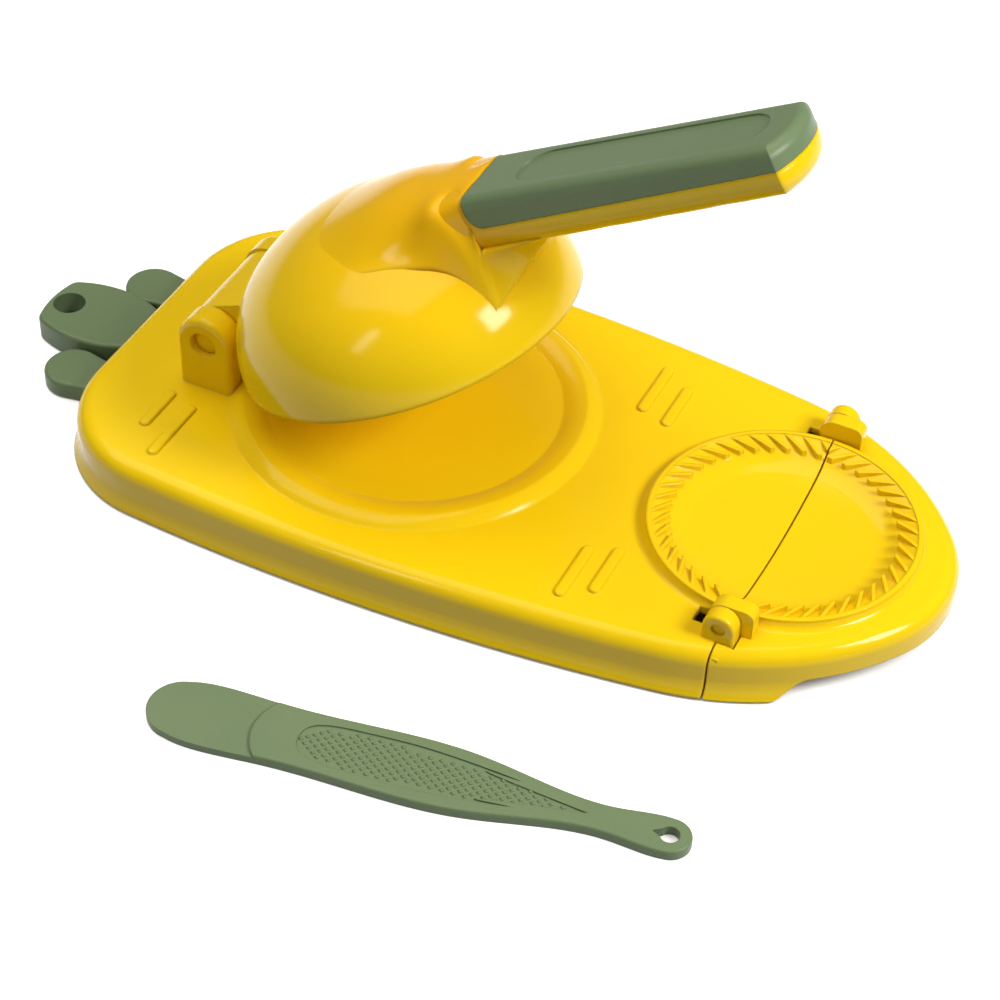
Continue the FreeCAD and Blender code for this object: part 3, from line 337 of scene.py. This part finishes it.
class PressFinish(bpy.types.PropertyGroup):
    """Colours and gloss of the press."""

    yellow: colour_property("Yellow", "Main pigment of the yellow mouldings", (0.93, 0.64, 0.006))
    yellow_deep: colour_property("Deep yellow", "Clouds in the yellow pigment", (0.9, 0.59, 0.005))
    # Painted shade: the lid turns this deeper orange towards its top, standing in for how the light falls
    # there.
    yellow_top_shade: colour_property("Warm yellow", "Yellow of the lid towards its top", (0.9, 0.42, 0.003))
    # Painted shade for grooves and corners.
    yellow_shade: colour_property("Shaded yellow", "Yellow in grooves and corners", (0.6, 0.31, 0.002))
    # Painted highlight for sharp edges.
    yellow_edge_highlight: colour_property("Edge highlight yellow", "Yellow painted on edges as a highlight", (0.96, 0.74, 0.04))
    yellow_roughness: share_property("Yellow roughness", "Gloss of the yellow plastic", 0.1)
    green: colour_property("Green", "Main pigment of the green mouldings", (0.16, 0.23, 0.115))
    green_deep: colour_property("Deep green", "Clouds in the green pigment", (0.135, 0.21, 0.103))
    # Painted shade for grooves and corners.
    green_shade: colour_property("Shaded green", "Green in grooves and corners", (0.03, 0.07, 0.042))
    # Colour of the specks, and of the painted highlight on sharp edges.
    green_speck_and_edge_highlight: colour_property("Speck and edge highlight green", "Green painted on edges as a highlight, and on specks", (0.24, 0.31, 0.17))
    green_roughness: share_property("Green roughness", "Gloss of the green plastic", 0.36)
    rubber: colour_property("Rubber", "Colour of the feet", (0.045, 0.045, 0.043))
    # Colour of the dust, and of the painted highlight on the feet's edges.
    rubber_dust_and_edge_highlight: colour_property("Rubber dust and edge highlight", "Dust and painted edge highlight on the feet", (0.17, 0.165, 0.155))
    steel: colour_property("Screw steel", "Plated steel of the screws", (0.62, 0.63, 0.64))
    # Colour of the tarnish, and of the painted shade in the slots.
    steel_tarnish_and_shade: colour_property("Tarnish and slot shade steel", "Tarnish and painted slot shade on the screws", (0.33, 0.32, 0.3))
    edge_softness: length_property("Edge softness", "Radius over which edges catch the light", 0.5 * MM)
    peel_height: length_property("Orange peel", "Height of the waviness in the gloss plastic", 0.25 * MM)
    grain_height: length_property("Grain", "Height of the grain in satin plastic and rubber", 0.12 * MM)


class GripSizes(bpy.types.PropertyGroup):
    """Sizes of the studs on the spatula's grip."""

    place: place_property("Place", "Blade tip of the spatula", (-15.0 * MM, -133.2 * MM, 0.0))
    turn: angle_property("Turn", "Direction of the spatula on the table", 8.4)
    start: length_property("Field start", "Round end of the sunk field, from the blade tip", 45.0 * MM)
    end: length_property("Field end", "Pointed end of the sunk field, from the blade tip", 129.0 * MM)
    half_width: length_property("Field half width", "Widest half of the sunk field", 7.6 * MM)
    floor: length_property("Field floor", "Height of the sunk field's floor", 2.7 * MM)
    rise: length_property("Stud rise", "Height of a stud over the floor", 0.46 * MM)
    pitch_along: length_property("Pitch along", "Distance of the stud columns", 1.65 * MM)
    pitch_across: length_property("Pitch across", "Distance of the studs in a column", 2.5 * MM)
    stud: length_property("Stud size", "Half width of a stud", 0.95 * MM)


class NeckSizes(bpy.types.PropertyGroup):
    """Sizes of the fairing that carries the dome into the handle, for the closed lid."""

    axis: place_property("Lid axis", "Place of the lid's hinge axis", (-61.0 * MM, 0.0, 34.4 * MM))
    opening: angle_property("Opening", "Angle at which the lid stands open", 22.0)
    dome_radius: length_property("Dome radius", "Radius of the dome's rim", 54.25 * MM)
    dome_rim: length_property("Dome rim", "Height of the dome's rim", 26.4 * MM)
    dome_height: length_property("Dome height", "Height of the dome over its rim", 42.0 * MM)
    shoulder: length_property("Shoulder", "Radius of the dome's shoulder", 35.6 * MM)
    handle: place_property("Handle", "Start of the handle on its parting plane", (43.7 * MM, 0.0, 64.3 * MM))
    slope: angle_property("Slope", "Rise of the handle over the closed lid", 7.6)
    half_width: length_property("Half width", "Half width of the fairing at the handle", 14.5 * MM)
    top: length_property("Top", "Height of the fairing over the parting plane", 9.9 * MM)
    depth: length_property("Depth", "Depth of the handle under the parting plane", 8.8 * MM)
    start: length_property("Start", "Where the fairing leaves the dome", -16.0 * MM, low=-50.0 * MM)
    spread: length_property("Spread", "Half width of the fairing at its start", 36.0 * MM)
    flank: length_property("Flank", "Distance over which the flanks run out", 6.0 * MM)
    sink: length_property("Sink", "Depth to which the edges dip into the dome", 0.4 * MM)
    reach: length_property("Web reach", "Reach of the web under the handle", 20.0 * MM)


class StageSetup(bpy.types.PropertyGroup):
    """Camera, lamps and floor."""

    camera_place: place_property("Camera", "Place of the camera", (0.27032, -0.51849, 0.52002))
    azimuth: angle_property("Azimuth", "Direction from which the camera looks", 24.869)
    elevation: angle_property("Elevation", "Angle at which the camera looks down", 42.91)
    roll: angle_property("Roll", "Tilt of the picture", 2.005)
    lens: bpy.props.FloatProperty(name="Lens", description="Focal length on a 36 mm sensor", unit="CAMERA",
                                  min=10.0, default=89.11)
    right_power: power_property("Right lamp", "Power of the soft box at the right", 8.6)
    front_power: power_property("Front lamp", "Power of the narrow box in front", 1.0)
    top_power: power_property("Top lamp", "Power of the overhead soft box", 11.0)
    ambient: bpy.props.FloatProperty(name="Ambient", description="Strength of the light from all round",
                                     min=0.0, default=0.17)


class PRESS_OT_dress_base(bpy.types.Operator):
    """Gives the base moulding its glossy yellow plastic"""

    bl_idname = "press.dress_base"
    bl_label = "Dress the base"

    def execute(self, context):
        finish = moulded_yellow("base_yellow", context.scene.press_finish, softness=1.2 * MM,
                                top_shade_from=0.03, top_shade_to=0.06, top_shade_share=0.15)
        dress(finish, "base_tray")
        return {"FINISHED"}


class PRESS_OT_dress_lid(bpy.types.Operator):
    """Gives the pressing lid, its plate and its pins their yellow plastic, with painted shade that turns it
    deeper orange towards the top
    """

    bl_idname = "press.dress_lid"
    bl_label = "Dress the lid"

    def execute(self, context):
        finish = moulded_yellow("lid_yellow", context.scene.press_finish, softness=2.5 * MM,
                                top_shade_from=0.06, top_shade_to=0.115, top_shade_share=0.75)
        dress(finish, "lid_shell", "press_plate", "lid_hinge_pin_front", "lid_hinge_pin_back")
        return {"FINISHED"}


class PRESS_OT_dress_flap(bpy.types.Operator):
    """Gives the folding flap and its pins their yellow plastic"""

    bl_idname = "press.dress_flap"
    bl_label = "Dress the flap"

    def execute(self, context):
        finish = moulded_yellow("flap_yellow", context.scene.press_finish, softness=0.6 * MM,
                                top_shade_from=0.03, top_shade_to=0.06, top_shade_share=0.1)
        dress(finish, "mould_flap", "flap_hinge_pin_front", "flap_hinge_pin_back")
        return {"FINISHED"}


class PRESS_OT_dress_greens(bpy.types.Operator):
    """Gives the leaf, the handle's cover and the spatula their satin green plastic"""

    bl_idname = "press.dress_greens"
    bl_label = "Dress the green pieces"

    def execute(self, context):
        finish = moulded_green("satin_green", context.scene.press_finish)
        dress(finish, "leaf_tab", "handle_cover", "filling_spatula")
        return {"FINISHED"}


class PRESS_OT_dress_feet(bpy.types.Operator):
    """Gives the feet their matt rubber"""

    bl_idname = "press.dress_feet"
    bl_label = "Dress the feet"

    def execute(self, context):
        finish = foot_rubber("foot_rubber_matt", context.scene.press_finish)
        dress(finish, *[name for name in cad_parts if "_foot" in name])
        return {"FINISHED"}


class PRESS_OT_dress_screws(bpy.types.Operator):
    """Gives the screws their plated steel"""

    bl_idname = "press.dress_screws"
    bl_label = "Dress the screws"

    def execute(self, context):
        finish = plated_steel("screw_steel_plated", context.scene.press_finish)
        dress(finish, "leaf_screws", "handle_screws")
        return {"FINISHED"}


class PRESS_OT_make_grip_studs(bpy.types.Operator):
    """Fills the sunk field of the spatula with staggered rows of low pointed studs"""

    bl_idname = "press.make_grip_studs"
    bl_label = "Make the grip studs"

    outline = ((0.0, 0.0), (0.03, 0.62), (0.07, 0.86), (0.2, 1.0), (0.55, 0.92), (0.75, 0.62), (1.0, 0.0))

    def half_width(self, share):
        """Half width of the field, as a share, at a place along it."""
        for (before, wide), (after, next_wide) in zip(self.outline, self.outline[1:]):
            if before <= share <= after:
                return wide + (next_wide - wide) * (share - before) / (after - before)
        return 0.0

    def stud_places(self, sizes):
        """Middles of the studs in the spatula's own frame."""
        length = sizes.end - sizes.start
        columns = int(length / sizes.pitch_along)
        for column in range(columns):
            along = sizes.start + sizes.pitch_along * (column + 0.5)
            room = self.half_width((along - sizes.start) / length) * sizes.half_width - sizes.stud * 1.15
            shift = 0.5 * (column % 2)
            rows = int(room / sizes.pitch_across) + 2
            for row in range(-rows, rows + 1):
                across = (row + shift) * sizes.pitch_across
                if abs(across) <= room:
                    yield along, across

    def execute(self, context):
        sizes = context.scene.press_grip
        to_table = Matrix.Translation(sizes.place) @ Matrix.Rotation(sizes.turn, 4, "Z")
        mesh = bmesh.new()
        sink = 0.1 * MM
        squeeze = Matrix.Diagonal((1.0, 0.82, 1.0, 1.0))
        for along, across in self.stud_places(sizes):
            middle = Vector((along, across, sizes.floor + (sizes.rise - sink) / 2))
            bmesh.ops.create_cone(mesh, cap_ends=True, segments=4, radius1=sizes.stud * 1.25,
                                  radius2=sizes.stud * 0.34, depth=sizes.rise + sink,
                                  matrix=to_table @ Matrix.Translation(middle) @ squeeze)
        bmesh.ops.bevel(mesh, geom=mesh.edges[:], offset=0.09 * MM, offset_type="OFFSET", affect="EDGES",
                        segments=1, profile=0.5, material=-1)
        bmesh.ops.recalc_face_normals(mesh, faces=mesh.faces)
        for face in mesh.faces:
            face.smooth = False
        finished_piece("grip_studs", mesh, "spatula", bpy.data.materials["satin_green"])
        return {"FINISHED"}


class PRESS_OT_make_neck_fairing(bpy.types.Operator):
    """Carries the dome of the lid into its handle with a rounded fairing and a web below"""

    bl_idname = "press.make_neck_fairing"
    bl_label = "Make the neck fairing"

    swell_steps = 10
    drop_turns = 20
    across_steps = 3
    neck_steps = 10
    web_steps = 8
    flank_shares = ((1.0, 1.0), (0.8, 0.8), (0.61, 0.61), (0.42, 0.42), (0.2, 0.2), (0.0, 0.0))
    top_shares = ((1.0, 0.5), (0.97, 0.8), (0.86, 0.95), (0.5, 1.0), (0.0, 1.0))
    middle_sections = ((0.42, 0.86, 2.0), (0.7, 0.68, 3.6), (0.88, 0.57, 7.0))
    web_shares = ((1.0, 1.0), (0.74, 0.75), (0.5, 0.5), (0.26, 0.25), (0.0, 0.0))

    def dome_at(self, sizes, x, y):
        """Height of the closed dome over a place in plan."""
        shoulder_x = sizes.dome_radius - sizes.shoulder
        rise = sizes.dome_height
        crown = (shoulder_x ** 2 + rise ** 2 - sizes.shoulder ** 2) / (2 * (rise - sizes.shoulder))
        crown_z = sizes.dome_rim + rise - crown
        reach = min(math.hypot(x, y), sizes.dome_radius)
        if reach <= crown * math.cos(math.atan2(sizes.dome_rim - crown_z, shoulder_x)):
            return crown_z + math.sqrt(crown ** 2 - reach ** 2)
        return sizes.dome_rim + math.sqrt(sizes.shoulder ** 2 - (reach - shoulder_x) ** 2)

    def mirrored(self, points):
        """Points of one side, followed by those of the other."""
        return points + [Vector((point.x, -point.y, point.z)) for point in reversed(points[:-1])]

    def swell(self, sizes, x, lift, spread, fullness):
        """Section just below the dome's surface that swells in the middle, squarer when fuller."""
        points = []
        for step in range(self.swell_steps, -1, -1):
            share = step / self.swell_steps
            y = spread * share
            rise = lift * math.cos(math.pi / 2 * share ** fullness) ** 2
            points.append(Vector((x, y, self.dome_at(sizes, x, y) - sizes.sink + rise)))
        return self.mirrored(points)

    def foot_drop(self, sizes, y):
        """Distance below the parting plane at which the end of the fairing dips into the dome."""
        drop = sizes.depth
        for turn in range(self.drop_turns):
            x = sizes.handle.x + drop * math.sin(sizes.slope)
            drop = (sizes.handle.z - self.dome_at(sizes, x, y) + sizes.sink) / math.cos(sizes.slope)
        return drop

    def neck_sections(self, sizes, to_handle):
        """Sections from the crown of the dome to the square end of the handle."""
        end = to_handle @ Vector((0.0, 0.0, sizes.top))
        foot_y = sizes.half_width + sizes.flank
        dome_top = sizes.dome_rim + sizes.dome_height
        sections = [self.swell(sizes, sizes.start, 0.0, sizes.spread, 1.0)]
        for share, spread, fullness in self.middle_sections:
            x = sizes.start + (end.x - sizes.start) * share
            top = end.z - (end.z - dome_top) * (1 - share) ** 2
            lift = top + sizes.sink - self.dome_at(sizes, x, 0.0)
            sections.append(self.swell(sizes, x, lift, sizes.spread * spread, fullness))
        drop = self.foot_drop(sizes, foot_y)
        points = [Vector((0.0, sizes.half_width + sizes.flank * out, -drop * down))
                  for out, down in self.flank_shares]
        points += [Vector((0.0, sizes.half_width * out, sizes.top * up)) for out, up in self.top_shares]
        sections.append([to_handle @ point for point in self.mirrored(points)])
        return sections

    def web_section(self, to_handle, along, half, flare, top, bottom):
        """Section across the web, whose sides flare out downwards, or taper in with a negative flare."""
        points = [Vector((along, half + flare * out, top + (bottom - top) * down))
                  for out, down in self.web_shares]
        points += [Vector((along, half * 0.5, top)), Vector((along, 0.0, top))]
        return [to_handle @ point for point in self.mirrored(points)]

    def web_sections(self, sizes, to_handle):
        """Sections from the shoulder of the dome to the underside of the handle."""
        half = sizes.half_width
        foot = -self.foot_drop(sizes, half + sizes.flank)
        top = -sizes.depth * 0.75
        under = -sizes.depth
        middle = (foot + under) * 0.5
        return [self.web_section(to_handle, -sizes.reach * 0.05, half, sizes.flank, top, foot),
                self.web_section(to_handle, sizes.reach * 0.4, half * 0.97, -half * 0.15, top, middle),
                self.web_section(to_handle, sizes.reach, half * 0.9, -half * 0.6, top, under * 0.96)]

    def execute(self, context):
        sizes = context.scene.press_neck
        to_handle = Matrix.Translation(sizes.handle) @ Matrix.Rotation(-sizes.slope, 4, "Y")
        mesh = bmesh.new()
        add_skin(mesh, self.neck_sections(sizes, to_handle), self.across_steps, self.neck_steps)
        add_skin(mesh, self.web_sections(sizes, to_handle), self.across_steps, self.web_steps)
        hinge = Matrix.Translation(sizes.axis)
        opened = hinge @ Matrix.Rotation(-sizes.opening, 4, "Y") @ hinge.inverted()
        bmesh.ops.transform(mesh, matrix=opened, verts=mesh.verts)
        bmesh.ops.recalc_face_normals(mesh, faces=mesh.faces)
        finished_piece("neck_fairing", mesh, "lid", bpy.data.materials["lid_yellow"])
        return {"FINISHED"}


class PRESS_OT_set_stage(bpy.types.Operator):
    """Sets up the floor, the soft boxes, the light all round and the camera"""

    bl_idname = "press.set_stage"
    bl_label = "Set the stage"

    floor_reach = 12.0
    floor_drop = 0.2 * MM
    floor_glow = 0.6
    painted_shadow_reach = 60 * MM
    aim = (0.0, 0.0, 0.03)
    lamp_white = (1.0, 0.97, 0.92)
    lamp_warm = (1.0, 0.93, 0.82)

    def seen(self, board):
        """Is 1 for rays that show the background itself."""
        kinds = [board.node("ShaderNodeLightPath", output=name)
                 for name in ("Is Camera Ray", "Is Glossy Ray", "Is Transmission Ray")]
        total = kinds[0] + kinds[1] + kinds[2]
        return board.node("ShaderNodeClamp", None, {"Value": total})

    def floor(self, context):
        """Pale paper floor just below the feet, with a painted shadow: its glow fades to black where the
        press covers it and next to it.
        """
        mesh = bmesh.new()
        bmesh.ops.create_grid(mesh, x_segments=1, y_segments=1, size=self.floor_reach)
        bmesh.ops.translate(mesh, verts=mesh.verts, vec=(0.0, 0.0, -self.floor_drop))
        shape = bpy.data.meshes.new("studio_floor")
        mesh.to_mesh(shape)
        mesh.free()
        material, board = new_finish("floor_paper")
        fibre = board.noise(board.place(), 300.0, 2.0)
        paper = board.mix(fibre.between(0.4, 0.7) * 0.03, (0.86, 0.86, 0.86, 1.0), (0.8, 0.8, 0.8, 1.0))
        lit = board.node("ShaderNodeBsdfDiffuse", None, {"Color": paper})
        # Painted shadow: the floor's glow is darkened by ambient occlusion under and beside the press.
        painted_shadow_mask = board.node("ShaderNodeAmbientOcclusion", {"samples": 8}, {"Distance": self.painted_shadow_reach},
                              "AO")
        glow_with_painted_shadow = board.mix(painted_shadow_mask.between(0.12, 0.5), (0.0, 0.0, 0.0, 1.0), (1.0, 1.0, 1.0, 1.0))
        glow = board.node("ShaderNodeEmission", None, {"Color": glow_with_painted_shadow, "Strength": self.floor_glow})
        shown = board.node("ShaderNodeAddShader", None, {0: lit, 1: glow})
        quiet = board.node("ShaderNodeBsdfDiffuse", None, {"Color": (0.24, 0.24, 0.24, 1.0)})
        surface = board.node("ShaderNodeMixShader", None, {0: self.seen(board), 1: quiet, 2: shown})
        board.node("ShaderNodeOutputMaterial", None, {"Surface": surface})
        shape.materials.append(material)
        floor = bpy.data.objects.new("studio_floor", shape)
        context.scene.collection.objects.link(floor)

    def world(self, context, setup):
        """Even light from all round, slightly blue."""
        world = bpy.data.worlds.new("studio_air")
        world.use_nodes = True
        board = Board(world.node_tree)
        air = board.node("ShaderNodeBackground", None, {"Color": (0.88, 0.95, 1.0, 1.0),
                                                        "Strength": setup.ambient})
        board.node("ShaderNodeOutputWorld", None, {"Surface": air})
        context.scene.world = world

    def soft_box(self, context, name, place, size, power, tint):
        """Soft rectangular lamp that looks at the press."""
        lamp = bpy.data.lights.new(name, "AREA")
        lamp.shape = "RECTANGLE"
        lamp.size, lamp.size_y = size
        lamp.energy = power
        lamp.color = tint
        box = bpy.data.objects.new(name, lamp)
        box.location = place
        box.rotation_euler = (Vector(place) - Vector(self.aim)).to_track_quat("Z", "Y").to_euler()
        context.scene.collection.objects.link(box)

    def camera(self, context, setup):
        """Camera at the photo's place, turned by its azimuth, elevation and roll."""
        flat = math.cos(setup.elevation)
        back = Vector((math.sin(setup.azimuth) * flat, -math.cos(setup.azimuth) * flat,
                       math.sin(setup.elevation)))
        right = Vector((0.0, 0.0, 1.0)).cross(back).normalized()
        up = back.cross(right)
        turned_right = right * math.cos(setup.roll) + up * math.sin(setup.roll)
        turned_up = up * math.cos(setup.roll) - right * math.sin(setup.roll)
        view = bpy.data.cameras.new("photo_camera")
        view.lens = setup.lens
        view.sensor_width = 36.0
        view.sensor_fit = "AUTO"
        view.clip_start = 0.01
        camera = bpy.data.objects.new("photo_camera", view)
        axes = Matrix((turned_right, turned_up, back)).transposed()
        camera.matrix_world = Matrix.Translation(setup.camera_place) @ axes.to_4x4()
        context.scene.collection.objects.link(camera)
        context.scene.camera = camera

    def execute(self, context):
        setup = context.scene.press_stage
        context.scene.view_settings.view_transform = "Standard"
        self.floor(context)
        self.world(context, setup)
        self.soft_box(context, "right_box", (0.83, 0.01, 0.71), (0.3, 0.36), setup.right_power,
                      self.lamp_white)
        self.soft_box(context, "front_box", (-0.27, -0.77, 0.7), (0.14, 0.36), setup.front_power,
                      self.lamp_white)
        self.soft_box(context, "top_box", (-0.36, 0.1, 1.2), (1.2, 1.2), setup.top_power, self.lamp_warm)
        self.camera(context, setup)
        return {"FINISHED"}


STEPS = (
    PRESS_OT_dress_base,
    PRESS_OT_dress_lid,
    PRESS_OT_dress_flap,
    PRESS_OT_dress_greens,
    PRESS_OT_dress_feet,
    PRESS_OT_dress_screws,
    PRESS_OT_make_grip_studs,
    PRESS_OT_make_neck_fairing,
    PRESS_OT_set_stage,
)


class PRESS_PT_steps(bpy.types.Panel):
    """Steps and sizes of the press in the sidebar"""

    bl_idname = "PRESS_PT_steps"
    bl_label = "Dumpling press"
    bl_space_type = "VIEW_3D"
    bl_region_type = "UI"
    bl_category = "Press"

    def draw(self, context):
        for step in STEPS:
            self.layout.operator(step.bl_idname)
        for group_name in GROUPS:
            group = getattr(context.scene, group_name)
            box = self.layout.box()
            for name in group.__annotations__:
                box.prop(group, name)


GROUPS = {"press_finish": PressFinish, "press_grip": GripSizes, "press_neck": NeckSizes,
          "press_stage": StageSetup}


def register():
    for kind in (*GROUPS.values(), *STEPS, PRESS_PT_steps):
        bpy.utils.register_class(kind)
    for name, kind in GROUPS.items():
        setattr(bpy.types.Scene, name, bpy.props.PointerProperty(type=kind))


def unregister():
    for name in GROUPS:
        delattr(bpy.types.Scene, name)
    for kind in reversed((*GROUPS.values(), *STEPS, PRESS_PT_steps)):
        bpy.utils.unregister_class(kind)


def main():
    """Registers the add-on and runs every step."""
    register()
    bpy.ops.press.dress_base()
    bpy.ops.press.dress_lid()
    bpy.ops.press.dress_flap()
    bpy.ops.press.dress_greens()
    bpy.ops.press.dress_feet()
    bpy.ops.press.dress_screws()
    bpy.ops.press.make_grip_studs()
    bpy.ops.press.make_neck_fairing()
    bpy.ops.press.set_stage()


if __name__ == "__main__":
    main()
